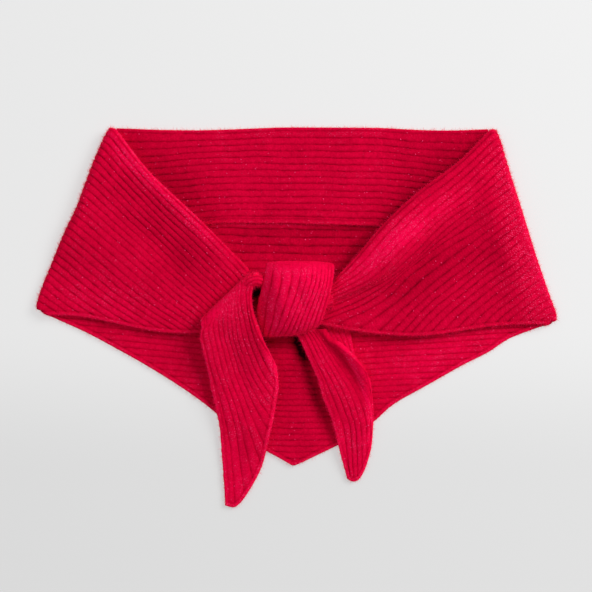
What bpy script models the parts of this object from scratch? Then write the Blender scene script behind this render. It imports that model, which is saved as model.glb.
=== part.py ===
"""A triangular scarf in rib knit, folded round a neck opening and tied in a half knot, lying flat.

The ribs run along the triangle's long edge. A deep band is folded down inside that edge, the two
ends are folded over to the front at the sides, and there they are tied: the left end comes up as
the band of the knot and hangs as the right tail, and the right end passes under that band, folds
over to the left and hangs as the left tail. Each stretch that shows is a wall of its own, with the
ribs raised in its outer side. All sizes are in millimetres until the meshes are written.
"""
import bpy
import bmesh
from bisect import bisect_right
from collections import namedtuple
from math import cos, pi, sin
from mathutils import Vector

MM = 0.001

# The cloth.
WALL = 2.0                        # a knitted ply without its ribs
RIB_RELIEF = 1.0                  # a rib stands this far above the grooves beside it
SEAM = 0.3                        # clear gap between pieces that touch
PLY = WALL + RIB_RELIEF + SEAM    # from the middle of one ply to the middle of the next
CREST = WALL / 2 + RIB_RELIEF     # from a ply's middle to the top of its ribs
CURL = PLY / 2                    # radius of a folded edge, at the middle of the ply
TABLE_Z = WALL / 2                # middle of a ply that lies on the table
ON_BACK = TABLE_Z + PLY           # middle of a ply that lies on the back panel

# The garment, counted in ribs from the folded long edge.
BAND_RIBS = 14                    # depth of the band folded down inside the long edge
FOLD_RIBS = 27                    # ribs along each side fold
BACK_RIBS = 50                    # ribs from the neck edge to the point at the bottom
KNOT_RIBS = 11                    # width of the band that wraps the knot
TAIL_LEFT_RIBS = 12               # width of the left tail at its fold
TAIL_RIGHT_RIBS = 7               # width of the right tail
TAIL_UNDER_RIBS = 6               # the strip that shows of the ply behind the right tail

# The folds.
SIDE_RADIUS = 1.5 * PLY           # a side fold where the band is inside it, so two plies turn
HEM_RADIUS = 2.2                  # a side fold at the hem, where one ply turns
TAIL_RADIUS = 4.0                 # the left tail's fold over the left front
FOLD_GAP = 0.5                    # from a level rib's end to the turn at a side fold
CORNER_GAP = 1.3                  # the same at a fold's corners, where the turn tightens

# The neck edge, and the middle of the back.
NECK_Y = 164.6                    # the neck edge at the middle of the back
NECK_INSET = CURL + WALL / 2      # from the neck edge to where its roll begins
NECK_RISE = 0.3                   # the neck edge's ends stand this many ribs above the side folds
MIDDLE_X = -2.6

# The middle of the object's footprint, measured from the middle of the knot.
CENTRE = Vector((0.28, -0.60, 0.0))

# The two side folds: their corners at the neck edge and at the hem, and how far they bow out.
Fold = namedtuple("Fold", "neck hem bow")
LEFT = Fold(Vector((-164.9, 163.0, 0)), Vector((-225.3, 7.2, 0)), 2.0)
RIGHT = Fold(Vector((175.3, 161.6, 0)), Vector((225.8, -1.0, 0)), 1.0)
UP = Vector((0, 0, 1))

RED = (0.62, 0.002, 0.022, 1.0)   # scarlet wool, linear


# ---------------------------------------------------------------- curves and surfaces

def spline(knots, points, place):
    """The smooth curve that passes each point at its own knot, read at one place."""
    last = len(knots) - 1
    left = min(max(bisect_right(knots, place) - 1, 0), last - 1)
    span = knots[left + 1] - knots[left]
    part = (place - knots[left]) / span

    def slope(index):
        before, after = max(index - 1, 0), min(index + 1, last)
        return (points[after] - points[before]) * (span / (knots[after] - knots[before]))

    rise = part * part * (3 - 2 * part)
    leave = part * (1 - part) ** 2
    arrive = part * part * (part - 1)
    return (points[left] * (1 - rise) + points[left + 1] * rise
            + slope(left) * leave + slope(left + 1) * arrive)


def evenly(count):
    """Places from 0 to 1, a whole number of equal steps apart."""
    return [index / count for index in range(count + 1)]


def between(ends, count):
    """Places from the first end to the second, a whole number of equal steps apart."""
    first, last = ends
    return [first + (last - first) * place for place in evenly(count)]


class Surface:
    """The middle of a ply, through a table of ribs that each pass the same stations.

    A row of the table is the rib's number and its points. A place on the surface is a rib number
    and a station from 0 to 1. Normals point to the side that shows.
    """

    def __init__(self, table):
        self.ribs = [row[0] for row in table]
        self.lines = [[Vector(point) for point in row[1:]] for row in table]
        self.stations = evenly(len(self.lines[0]) - 1)
        self.turned = 1.0
        middle = (self.ribs[0] + self.ribs[-1]) / 2
        if self.normal(middle, 0.5).z < 0:
            self.turned = -1.0

    def point(self, rib, station):
        across = [spline(self.stations, line, station) for line in self.lines]
        return spline(self.ribs, across, rib)

    def across(self, rib, station):
        """The direction, on the surface, of lower rib numbers."""
        step = 0.25
        low = max(rib - step, self.ribs[0])
        return (self.point(low, station) - self.point(low + step, station)).normalized()

    def normal(self, rib, station):
        step = 0.02
        low = min(max(station - step / 2, 0.0), 1.0 - step)
        along = self.point(rib, low + step) - self.point(rib, low)
        return along.cross(self.across(rib, station)).normalized() * self.turned


# ---------------------------------------------------------------- walls

# One point of a wall: the middle of the ply, the side that shows, and how far the rib stands up.
Spot = namedtuple("Spot", "middle normal relief")
# One row of spots along a rib. A row between two ribs, or with no rib, is on the plain side too.
Row = namedtuple("Row", "spots both_sides")


def rib_rows(first, last, spots_at):
    """Rows from one rib number to another: a groove at each whole number, a crest between."""
    rows = []
    for half in range(round(2 * first), round(2 * last) + 1):
        crest = half % 2 == 1
        spots = spots_at(half / 2, RIB_RELIEF if crest else 0.0)
        at_end = half in (round(2 * first), round(2 * last))
        rows.append(Row(spots, at_end or not crest))
    return rows


def rolled_rows(spots, outwards, turns):
    """Rows that roll a wall's first rib under, about the edge's own radius, by each of turns."""
    rows = []
    for turn in turns:
        rolled = []
        for spot, out in zip(spots, outwards):
            out = (out - spot.normal * out.dot(spot.normal)).normalized()
            middle = spot.middle + out * CURL * sin(turn) - spot.normal * CURL * (1 - cos(turn))
            normal = out * sin(turn) + spot.normal * cos(turn)
            rolled.append(Spot(middle, normal, spot.relief))
        rows.append(Row(rolled, True))
    return rows


def under_ply(rows_of_spots):
    """The ply that lies inside a folded edge, one ply below the spots given."""
    return [Row([Spot(spot.middle - spot.normal * PLY, -spot.normal, 0.0) for spot in spots], True)
            for spots in rows_of_spots]


def wall(name, rows):
    """A closed wall: its ribbed side from every row, its plain side from those on both sides."""
    mesh = bmesh.new()

    def vertices(row, reach):
        return [mesh.verts.new((spot.middle + spot.normal * reach(spot) - CENTRE) * MM)
                for spot in row.spots]

    shown = [vertices(row, lambda spot: WALL / 2 + spot.relief) for row in rows]
    shared = [index for index, row in enumerate(rows) if row.both_sides]
    plain = [vertices(rows[index], lambda spot: -WALL / 2) for index in shared]

    for side in (shown, plain):
        for near, far in zip(side, side[1:]):
            for column in range(len(near) - 1):
                mesh.faces.new((near[column], near[column + 1], far[column + 1], far[column]))
    for edge, backing in ((shown[0], plain[0]), (shown[-1], plain[-1])):
        for column in range(len(edge) - 1):
            mesh.faces.new((edge[column], edge[column + 1], backing[column + 1], backing[column]))
    for index in range(len(shared) - 1):
        for end in (0, -1):
            ribbed = [row[end] for row in shown[shared[index]:shared[index + 1] + 1]]
            mesh.faces.new(ribbed + [plain[index + 1][end], plain[index][end]])
    finish(name, mesh)


def finish(name, mesh):
    """Turns a mesh's faces outwards and makes it an object with its own knit material."""
    bmesh.ops.recalc_face_normals(mesh, faces=mesh.faces)
    data = bpy.data.meshes.new(name)
    mesh.to_mesh(data)
    mesh.free()
    material = bpy.data.materials.new(name + "_rib_knit")
    material.use_nodes = True
    shader = material.node_tree.nodes["Principled BSDF"]
    shader.inputs["Base Color"].default_value = RED
    shader.inputs["Roughness"].default_value = 0.85
    shader.inputs["Metallic"].default_value = 0.0
    data.materials.append(material)
    scarf.objects.link(bpy.data.objects.new(name, data))


# ---------------------------------------------------------------- back panel and neck flap

# A rib of the lower layers: its two ends, and its height at the middle of the back.
LevelRib = namedtuple("LevelRib", "rib left middle_y right")

def fold_radius(rib):
    """Radius of a side fold: wide down to the band's free edge, then narrowing to the hem."""
    return spline((0, BAND_RIBS + 1, BAND_RIBS + 6, FOLD_RIBS),
                  (SIDE_RADIUS, SIDE_RADIUS, HEM_RADIUS + 0.4, HEM_RADIUS), rib)


def outwards_of(fold):
    """The direction, in plan, that looks outwards from a side fold."""
    out = (fold.hem - fold.neck).cross(UP).normalized()
    return out if out.x * fold.neck.x > 0 else -out


def inside_fold(fold, rib, gap=0.0):
    """The place, in plan, where a rib leaves the turn at a side fold, or a gap short of it."""
    down = rib / FOLD_RIBS
    bow = fold.bow * 4 * down * (1 - down)
    inset = fold_radius(rib) + CREST + gap
    return fold.neck.lerp(fold.hem, down) + outwards_of(fold) * (bow - inset)


def level_rib(rib, middle_y, gap=FOLD_GAP):
    """A rib that ends at both side folds."""
    return LevelRib(rib, inside_fold(LEFT, rib, gap), middle_y, inside_fold(RIGHT, rib, gap))


def level_surface(table, height):
    rows = []
    for line in table:
        rows.append((line.rib, (line.left[0], line.left[1], height),
                     (MIDDLE_X, line.middle_y, height), (line.right[0], line.right[1], height)))
    return Surface(rows)


def lowered(line, drop):
    """The same rib, moved down from the neck edge."""
    down = Vector((0, -drop, 0))
    return LevelRib(line.rib, line.left + down, line.middle_y - drop, line.right + down)


NECK_RIB = LevelRib(0, inside_fold(LEFT, -NECK_RISE, CORNER_GAP), NECK_Y - NECK_INSET,
                    inside_fold(RIGHT, -NECK_RISE, CORNER_GAP))
FLAP = [
    NECK_RIB,
    level_rib(1, NECK_Y - NECK_INSET - 5.8),
    level_rib(7, 122.0),
    level_rib(14, 81.5),
]
BACK = [
    lowered(NECK_RIB, SEAM),
    level_rib(14, 73.0),
    level_rib(17, 53.4),
    level_rib(20, 33.8),
    level_rib(23, 14.2),
    level_rib(25, 1.2),
    level_rib(26, -5.3, CORNER_GAP),
    level_rib(27, -11.9, CORNER_GAP),
    LevelRib(28, (-211.0, 0.3), -17.0, (214.0, -7.3)),
    LevelRib(30, (-184.0, -12.7), -27.0, (186.0, -18.5)),
    LevelRib(34, (-135.5, -39.4), -47.1, (145.0, -41.9)),
    LevelRib(40, (-80.0, -75.0), -77.3, (86.0, -75.5)),
    LevelRib(46, (-40.0, -107.0), -107.5, (40.0, -107.0)),
    LevelRib(50, (-9.0, -125.9), -127.6, (5.7, -125.9)),
]


def back_panel():
    surface = level_surface(BACK, TABLE_Z)
    columns = evenly(8)

    def spots(rib, relief):
        return [Spot(surface.point(rib, place), UP, relief) for place in columns]

    wall("back_panel", rib_rows(0, BACK_RIBS, spots))


def neck_flap():
    surface = level_surface(FLAP, ON_BACK)
    columns = evenly(8)

    def spots(rib, relief):
        return [Spot(surface.point(rib, place), UP, relief) for place in columns]

    outwards = [Vector((0, 1, 0))] * len(columns)
    roll = rolled_rows(spots(0, 0.0), outwards, (pi, 2 * pi / 3, pi / 3))
    wall("neck_flap", roll + rib_rows(0, BAND_RIBS, spots))


# ---------------------------------------------------------------- fronts

# A rib of a front, from its side fold to the knot or to its slanted free edge. Its first point is
# left out here, because the side fold gives it.
FRONT_LEFT = [
    (0, (-127.5, 122.5, 14.0), (-84.0, 81.6, 14.5), (-42.2, 38.5, 9.5)),
    (6, (-131.8, 86.4, 12.5), (-88.3, 44.6, 12.0), (-51.8, 9.4, 9.0)),
    (12, (-150.1, 60.7, 11.5), (-110.1, 25.9, 10.5), (-68.3, -9.3, 8.5)),
    (16, (-162.3, 39.8, 10.0), (-124.8, 10.7, 9.0), (-87.4, -13.7, 8.0)),
    (20, (-181.4, 25.5, 8.0), (-153.6, 5.5, 7.5), (-125.7, -11.5, 6.5)),
    (24, (-207.1, 15.9, 6.0), (-195.3, 7.7, 6.0), (-184.0, 0.3, 5.5)),
    (27, (-220.0, 5.5, 5.3), (-217.5, 3.9, 5.2), (-215.0, 2.2, 5.0)),
]
FRONT_RIGHT = [
    (0, (141.4, 132.1, 14.0), (105.7, 105.1, 16.0), (75.3, 76.4, 18.5), (51.8, 48.5, 19.0),
     (30.0, 26.4, 17.0)),
    (4, (147.5, 110.8, 17.0), (116.1, 86.4, 20.0), (88.3, 58.6, 23.0), (64.8, 34.6, 22.0),
     (25.7, 13.3, 17.5)),
    (5.2, (150.5, 103.4, 15.5), (121.4, 81.6, 18.0), (94.4, 54.6, 19.5), (69.2, 32.9, 18.0),
     (25.7, 11.1, 15.5)),
    (6.5, (154.4, 96.8, 14.0), (127.5, 75.1, 15.5), (101.4, 49.0, 16.0), (76.1, 30.7, 14.8),
     (25.7, 8.1, 14.0)),
    (8, (159.6, 89.9, 13.0), (130.1, 64.6, 14.0), (101.4, 41.2, 14.0), (69.2, 18.1, 13.0),
     (26.5, 1.1, 12.5)),
    (9.5, (163.1, 79.4, 12.5), (131.8, 56.8, 13.0), (103.1, 35.9, 12.8), (72.6, 10.7, 12.2),
     (29.1, -7.1, 11.5)),
    (12, (168.3, 65.5, 12.0), (144.9, 45.1, 12.0), (123.1, 25.1, 11.6), (102.2, 4.6, 11.0),
     (81.3, -15.4, 10.0)),
    (17, (186.3, 41.2, 9.5), (170.5, 27.2, 9.4), (155.3, 12.9, 9.2), (139.6, -1.0, 8.7),
     (124.0, -15.0, 8.0)),
    (22, (205.9, 20.6, 6.0), (197.9, 13.8, 6.0), (190.1, 6.7, 6.0), (182.3, -0.3, 5.8),
     (174.4, -7.1, 5.5)),
    (27, (220.9, -1.2, 5.4), (220.4, -2.0, 5.3), (219.9, -2.9, 5.2), (219.3, -3.7, 5.1),
     (218.8, -4.5, 5.0)),
]


def turned_under(start, out, radius, turns, relief):
    """Spots that turn a ply under, from its lowest point back up to where it lies flat.

    The ribs fade out on the lower half, which lies on the table or on another ply.
    """
    spots = []
    for turn in turns:
        middle = start + out * radius * sin(turn) - UP * radius * (1 - cos(turn))
        fading = min(1.0, 2 * (1 - turn / pi))
        spots.append(Spot(middle, out * sin(turn) + UP * cos(turn), relief * fading))
    return spots


def front(name, table, fold):
    """A front: the turn at the side fold, the outer ply, its rolled edge and the band inside."""
    whole = []
    for rib, *points in table:
        whole.append((rib, inside_fold(fold, rib) + UP * (TABLE_Z + 2 * fold_radius(rib)), *points))
    surface = Surface(whole)
    turns = (pi, 3 * pi / 4, pi / 2, pi / 4)
    columns = evenly(7)

    def spots(rib, relief):
        start = surface.point(rib, 0)
        radius = (start.z - TABLE_Z) / 2
        row = turned_under(start, outwards_of(fold), radius, turns, relief)
        for place in columns:
            row.append(Spot(surface.point(rib, place), surface.normal(rib, place), relief))
        return row

    top = spots(0, 0.0)
    outwards = [surface.across(0, 0)] * len(turns) + [surface.across(0, at) for at in columns]
    band = under_ply([spots(rib, 0.0) for rib in range(BAND_RIBS, -1, -2)])
    roll = rolled_rows(top, outwards, (2 * pi / 3, pi / 3))
    wall(name, band + roll + rib_rows(0, FOLD_RIBS, spots))


# ---------------------------------------------------------------- knot

# A rib of the band that wraps the knot, from behind its lower edge round the front to behind its
# upper edge. Rib 0 is the folded edge on the right.
KNOT_BAND = [
    (0, (12.0, -2.0, 14.0), (16.0, -7.0, 19.0), (19.5, -1.0, 25.0), (24.0, 14.0, 27.5),
     (28.0, 30.0, 27.0), (29.5, 43.5, 21.5), (28.5, 42.0, 17.0)),
    (3.5, (-3.0, -6.0, 14.0), (0.0, -13.0, 19.0), (5.0, -4.0, 27.5), (12.0, 14.0, 31.0),
     (18.0, 31.0, 30.5), (19.0, 46.0, 22.0), (18.0, 42.0, 16.0)),
    (7, (-17.0, -8.0, 14.0), (-16.0, -14.5, 18.5), (-10.0, -5.0, 27.0), (-3.5, 13.0, 31.5),
     (2.0, 30.0, 31.0), (4.0, 46.5, 22.0), (4.0, 41.0, 15.0)),
    (9.5, (-25.0, -9.0, 12.0), (-26.0, -15.0, 14.5), (-22.5, -5.0, 21.5), (-20.0, 12.0, 26.5),
     (-17.0, 29.0, 27.0), (-15.5, 45.0, 19.5), (-15.0, 40.0, 14.0)),
    (11, (-31.0, -9.0, 10.0), (-32.5, -14.5, 11.0), (-32.5, -4.0, 13.5), (-30.5, 12.0, 17.0),
     (-27.5, 28.0, 19.5), (-25.5, 42.5, 16.5), (-24.5, 39.0, 12.5)),
]
# The plies inside the band: the ribs and stations of the band that lie over them, and the gap.
CORE_RIBS = (2.5, 9.5)
CORE_STATIONS = (0.38, 0.68)
CORE_GAP = 0.8


def knot_band():
    surface = Surface(KNOT_BAND)
    columns = evenly(14)

    def spots(rib, relief):
        return [Spot(surface.point(rib, at), surface.normal(rib, at), relief) for at in columns]

    roll = rolled_rows(spots(0, 0.0), [surface.across(0, at) for at in columns],
                       (5 * pi / 6, pi / 2))
    wall("knot_band", roll + rib_rows(0, KNOT_RIBS, spots))


def knot_core():
    """The plies that the band wraps, as one rounded solid under the band's own points."""
    surface = Surface(KNOT_BAND)
    mesh = bmesh.new()
    floor_z = TABLE_Z + CREST + SEAM
    ribs = between(CORE_RIBS, 5)
    places = between(CORE_STATIONS, 5)
    upper, lower = [], []
    for rib in ribs:
        tops = [surface.point(rib, at) - surface.normal(rib, at) * (WALL / 2 + CORE_GAP)
                for at in places]
        upper.append([mesh.verts.new((top - CENTRE) * MM) for top in tops])
        feet = [Vector((top.x, top.y, floor_z)) for top in tops]
        lower.append([mesh.verts.new((foot - CENTRE) * MM) for foot in feet])
    for side in (upper, lower):
        for near, far in zip(side, side[1:]):
            for column in range(len(near) - 1):
                mesh.faces.new((near[column], near[column + 1], far[column + 1], far[column]))
    for top, foot in ((upper[0], lower[0]), (upper[-1], lower[-1])):
        for column in range(len(top) - 1):
            mesh.faces.new((top[column], top[column + 1], foot[column + 1], foot[column]))
    for end in (0, -1):
        for row in range(len(upper) - 1):
            mesh.faces.new((upper[row][end], upper[row + 1][end], lower[row + 1][end],
                            lower[row][end]))
    finish("knot_core", mesh)


# ---------------------------------------------------------------- tails

# A rib of the left tail, from its fold over the left front to its slanted free edge. Rib 0 is the
# folded edge on the right.
TAIL_LEFT = [
    (0, (-38.7, 29.8, 21.0), (-40.5, 21.1, 21.4), (-40.2, 10.7, 21.5), (-38.0, -1.0, 21.5),
     (-33.9, -12.8, 21.0), (-29.1, -23.2, 19.0), (-23.5, -32.8, 15.0), (-17.8, -44.1, 9.0)),
    (1, (-42.6, 27.7, 21.0), (-43.1, 18.5, 21.3), (-41.8, 7.2, 21.3), (-39.6, -4.5, 21.2),
     (-35.9, -18.0, 19.5), (-30.9, -31.1, 16.5), (-24.8, -44.5, 12.0), (-15.9, -59.8, 7.0)),
    (2, (-47.0, 24.6, 21.0), (-47.9, 15.1, 21.2), (-45.9, 3.7, 21.0), (-43.2, -8.4, 20.0),
     (-39.4, -23.2, 17.8), (-34.1, -37.1, 14.8), (-27.8, -51.1, 10.5), (-16.8, -66.7, 6.4)),
    (4, (-52.2, 19.8, 21.0), (-53.0, 7.2, 21.0), (-51.6, -8.4, 19.0), (-48.5, -25.0, 16.3),
     (-43.5, -38.0, 14.0), (-37.4, -52.4, 11.3), (-30.0, -66.3, 8.6), (-19.1, -82.0, 5.8)),
    (6, (-57.9, 14.6, 21.0), (-59.4, 2.9, 20.5), (-58.7, -11.9, 17.8), (-55.7, -26.7, 15.0),
     (-49.6, -45.8, 12.0), (-42.6, -63.2, 9.5), (-34.4, -81.1, 7.6), (-23.1, -101.5, 6.4)),
    (8, (-65.2, 7.7, 21.0), (-67.6, -3.2, 19.0), (-66.3, -17.1, 16.3), (-62.2, -35.4, 13.3),
     (-56.1, -55.4, 10.4), (-48.3, -76.3, 8.0), (-40.0, -102.4, 6.4), (-30.4, -130.2, 1.9)),
    (10, (-72.6, 0.7, 21.0), (-76.1, -9.3, 18.3), (-74.1, -23.2, 15.6), (-70.0, -42.4, 12.3),
     (-61.8, -65.9, 9.0), (-54.4, -89.3, 6.0), (-49.6, -119.8, 2.3), (-45.2, -157.2, 1.3)),
    (11, (-77.4, -4.1, 20.6), (-80.6, -12.8, 17.8), (-78.5, -25.0, 15.0), (-74.4, -43.2, 11.8),
     (-67.4, -65.9, 8.4), (-61.3, -92.0, 5.2), (-56.5, -121.5, 2.1), (-53.9, -165.5, 1.3)),
    (12, (-81.8, -8.0, 20.0), (-83.1, -16.3, 16.6), (-80.9, -28.4, 14.0), (-76.6, -46.7, 10.8),
     (-72.2, -67.6, 7.7), (-67.4, -92.8, 4.4), (-64.6, -124.1, 1.9), (-62.2, -164.2, 1.3)),
]
TAIL_TOP, TAIL_FOOT = Vector((-38.7, 35.9, 0)), Vector((-84.0, -7.6, 0))  # the fold's ends
TAIL_LIP = Vector((8.0, -0.4, 0))  # how far the hidden ply runs back towards the knot


def tail_left():
    surface = Surface(TAIL_LEFT)
    out = (TAIL_FOOT - TAIL_TOP).cross(UP).normalized()
    turns = (pi, 2 * pi / 3, pi / 3)
    columns = evenly(7)

    def spots(rib, relief):
        start = surface.point(rib, 0)
        row = [Spot(start + TAIL_LIP - UP * 2 * TAIL_RADIUS, -UP, 0.0)]
        row += turned_under(start, out, TAIL_RADIUS, turns, relief)
        for at in columns:
            row.append(Spot(surface.point(rib, at), surface.normal(rib, at), relief))
        return row

    outwards = [surface.across(0, 0)] * (len(turns) + 1)
    outwards += [surface.across(0, at) for at in columns]
    roll = rolled_rows(spots(0, 0.0), outwards, (2 * pi / 3, pi / 3))
    wall("tail_left", roll + rib_rows(0, TAIL_LEFT_RIBS, spots))


# A rib of the right tail, from the knot to the slanted free edge. Rib 0 is the rolled edge on the
# right, which stands up.
TAIL_RIGHT = [
    (0, (20.4, -10.2, 11.0), (28.3, -20.2, 12.5), (36.5, -25.0, 13.5), (43.5, -30.2, 14.0),
     (49.6, -35.8, 14.0), (55.2, -41.9, 13.5), (60.0, -48.5, 12.0), (63.9, -58.0, 8.5)),
    (1, (19.1, -10.2, 10.5), (29.1, -23.2, 11.3), (38.7, -31.9, 11.8), (46.5, -40.2, 12.0),
     (53.1, -48.5, 12.0), (58.3, -56.3, 11.5), (62.6, -64.1, 9.6), (66.1, -81.5, 5.2)),
    (2, (17.4, -10.2, 10.0), (26.5, -23.2, 10.3), (36.5, -34.5, 10.3), (46.1, -45.0, 10.2),
     (53.1, -55.9, 10.2), (58.7, -66.3, 10.0), (63.1, -78.5, 8.0), (65.2, -108.5, 1.8)),
    (3, (15.2, -10.2, 9.8), (23.5, -21.5, 9.8), (33.0, -35.7, 9.6), (42.2, -48.9, 9.6),
     (50.0, -61.5, 9.6), (56.1, -74.6, 9.2), (60.6, -92.0, 7.2), (60.9, -127.6, 1.4)),
    (4, (11.7, -10.2, 9.6), (18.7, -19.7, 9.6), (28.2, -35.7, 9.5), (37.4, -51.1, 9.6),
     (45.2, -65.4, 9.6), (50.5, -80.6, 9.0), (55.7, -101.5, 6.4), (56.1, -138.9, 1.3)),
    (5, (7.8, -10.2, 9.4), (14.4, -19.7, 9.4), (22.4, -35.7, 9.4), (30.9, -50.6, 9.5),
     (38.3, -65.9, 9.5), (44.4, -81.1, 8.8), (50.0, -101.5, 6.0), (51.8, -142.9, 1.2)),
    (6, (3.5, -10.2, 9.2), (8.9, -18.9, 9.2), (17.0, -35.7, 9.2), (25.2, -51.5, 9.2),
     (31.8, -65.9, 9.2), (37.4, -81.1, 8.4), (43.1, -99.8, 5.6), (47.9, -142.9, 1.2)),
    (7, (-2.6, -10.2, 8.8), (2.6, -18.9, 8.6), (10.4, -35.8, 8.4), (18.3, -52.8, 8.0),
     (23.5, -70.2, 7.8), (30.4, -88.5, 7.2), (35.7, -108.5, 5.0), (44.4, -140.7, 1.2)),
]
# A rib of the ply behind it, which shows as a strip along its right side.
TAIL_UNDER = [
    (0, (13.5, -7.6, ON_BACK), (22.2, -19.7, ON_BACK), (32.6, -31.9, ON_BACK),
     (43.1, -43.2, ON_BACK), (51.8, -54.5, ON_BACK)),
    (3, (29.1, -7.6, ON_BACK), (34.4, -18.0, ON_BACK), (41.3, -29.3, ON_BACK),
     (49.2, -39.8, ON_BACK), (57.0, -49.3, ON_BACK)),
    (6, (46.5, -8.4, ON_BACK), (47.9, -18.9, ON_BACK), (49.6, -29.3, ON_BACK),
     (53.5, -38.0, ON_BACK), (59.2, -45.8, ON_BACK)),
]


def plain_edged(name, table, ribs, steps, rolls=()):
    """A wall that ends at its own edges, with its first rib rolled under by each of rolls."""
    surface = Surface(table)
    columns = evenly(steps)

    def spots(rib, relief):
        return [Spot(surface.point(rib, at), surface.normal(rib, at), relief) for at in columns]

    roll = rolled_rows(spots(0, 0.0), [surface.across(0, at) for at in columns], rolls)
    wall(name, roll + rib_rows(0, ribs, spots))


# ---------------------------------------------------------------- the scarf

for leftover in list(bpy.data.objects):
    bpy.data.objects.remove(leftover)
scarf = bpy.data.collections.new("knit_scarf")
bpy.context.scene.collection.children.link(scarf)

back_panel()
neck_flap()
front("front_left", FRONT_LEFT, LEFT)
front("front_right", FRONT_RIGHT, RIGHT)
knot_band()
knot_core()
tail_left()
plain_edged("tail_right", TAIL_RIGHT, TAIL_RIGHT_RIBS, 7, (2 * pi / 3, pi / 3))
plain_edged("tail_right_under", TAIL_UNDER, TAIL_UNDER_RIBS, 4)
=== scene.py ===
"""A triangular scarf in scarlet rib knit, laid flat and tied in a half knot: how its cloth looks.

The scarf is knitted in one piece, with its ribs along the long edge. A deep band is folded down
inside that edge, the two ends are folded over to the front at the sides, and there they are tied.
The sections below follow the scarf as it is laid out. Sizes are in millimetres, and heights are
from the table, until a mesh is written.
"""
from collections import namedtuple
from functools import partial

import bmesh
import bpy
import numpy as np
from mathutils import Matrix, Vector


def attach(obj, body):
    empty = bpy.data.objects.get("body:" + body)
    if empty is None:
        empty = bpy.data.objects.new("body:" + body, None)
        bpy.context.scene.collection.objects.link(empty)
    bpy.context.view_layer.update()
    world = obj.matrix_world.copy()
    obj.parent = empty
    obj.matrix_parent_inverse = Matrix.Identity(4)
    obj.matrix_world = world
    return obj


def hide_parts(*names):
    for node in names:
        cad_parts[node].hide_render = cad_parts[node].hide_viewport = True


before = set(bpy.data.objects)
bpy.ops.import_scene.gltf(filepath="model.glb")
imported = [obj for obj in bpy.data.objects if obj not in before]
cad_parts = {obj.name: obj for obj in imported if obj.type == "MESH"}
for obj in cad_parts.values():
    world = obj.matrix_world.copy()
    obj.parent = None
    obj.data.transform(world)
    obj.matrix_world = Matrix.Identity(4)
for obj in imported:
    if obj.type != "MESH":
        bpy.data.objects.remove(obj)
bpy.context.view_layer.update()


# ==== back panel
# The lowest ply: the back of the scarf, from the neck edge to the point at the bottom. It is wool
# in rib knit, with a metallic thread, and lies flat on the table. Its two lower sides are the
# triangle's own, with a chained edge, and its upper half lies under the band.

MM = 0.001
CENTRE = np.array([0.28, -0.60, 0.0])  # the middle of the footprint, from the middle of the knot
UP = np.array([0.0, 0.0, 1.0])
WALL, RELIEF, SEAM = 2.0, 1.0, 0.3  # a ply without its ribs, its ribs, the gap to the next ply
PLY = WALL + RELIEF + SEAM  # from the middle of one ply to the middle of the next
TABLE_Z = WALL / 2  # the middle of a ply that lies on the table


def unit(vectors):
    return vectors / np.maximum(np.linalg.norm(vectors, axis=-1, keepdims=True), 1e-9)


def spline(knots, values, places):
    """Smooth curves that pass each value at its own knot, read at many places."""
    knots, values, places = (np.asarray(item, float) for item in (knots, values, places))
    last = len(knots) - 1
    left = np.clip(np.searchsorted(knots, places, side="right") - 1, 0, last - 1)
    index = np.arange(last + 1)
    before, after = np.maximum(index - 1, 0), np.minimum(index + 1, last)
    shape = (-1,) + (1,) * (values.ndim - 1)
    slopes = (values[after] - values[before]) / (knots[after] - knots[before]).reshape(shape)
    span = (knots[left + 1] - knots[left]).reshape(shape)
    part = (places - knots[left]).reshape(shape) / span
    rise = part * part * (3 - 2 * part)
    leave = part * (1 - part) ** 2 * span
    arrive = part * part * (part - 1) * span
    return (values[left] * (1 - rise) + values[left + 1] * rise
            + slopes[left] * leave + slopes[left + 1] * arrive)


def ply_points(table, ribs, stations, creases=()):
    """The creased middle of a ply at many ribs and stations, through a table of ribs and points."""
    lines = np.array([row[1:] for row in table], float)
    knots = np.linspace(0, 1, lines.shape[1])
    across = spline(knots, lines.transpose(1, 0, 2), stations)
    points = spline([row[0] for row in table], across.transpose(1, 0, 2), ribs)
    return points + UP * crease_heights(points, creases)[..., None]


def normals_of(points):
    """Normals of a grid of points, towards the side that shows."""
    normals = unit(np.cross(np.gradient(points, axis=1), np.gradient(points, axis=0)))
    middle = normals[normals.shape[0] * 2 // 3, normals.shape[1] // 2]
    return normals if middle[2] > 0 else -normals


# Where the mesh has its rows, from groove to groove: closest at the grooves, which bend most.
ACROSS_RIB = (0.0, 0.07, 0.17, 0.32, 0.5, 0.68, 0.83, 0.93)


def rib_places(first, last):
    """The rows of a ribbed wall, as rib numbers: several across each rib."""
    whole = np.arange(np.floor(first), np.ceil(last))
    places = (whole[:, None] + np.array(ACROSS_RIB)).ravel()
    inside = places[(places > first + 0.02) & (places < last - 0.02)]
    return np.concatenate([[first], inside, [last]])


def crease_heights(points, creases):
    """How far creases, which fade out towards both their ends, raise or lower each point.

    Each is a soft ridge in plan: its two ends, how far it bows to one side, its half width and its
    height, which is negative for a trough.
    """
    lift = np.zeros(points.shape[:-1])
    for start, end, bow, width, height in creases:
        run = np.subtract(end, start).astype(float)
        length = np.linalg.norm(run)
        along = run / length
        aside = np.array([-along[1], along[0]])
        offset = points[..., :2] - np.array(start, float)
        inside = np.clip(offset @ along / length, 0, 1)
        distance = offset @ aside - bow * 4 * inside * (1 - inside)
        lift += height * np.sin(np.pi * inside) ** 1.3 * np.exp(-(distance / width) ** 2)
    return lift


# The rows of a wall: their rib numbers, the middles and normals of each row at many samples,
# the share of the ribs' relief at those samples, and which rows the plain side has too.
Rows = namedtuple("Rows", "ribs middles normals firm backed")


def stacked(first, second):
    """The rows of one wall, and then those of the other."""
    return Rows(*(np.concatenate(pair) for pair in zip(first, second)))


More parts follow.
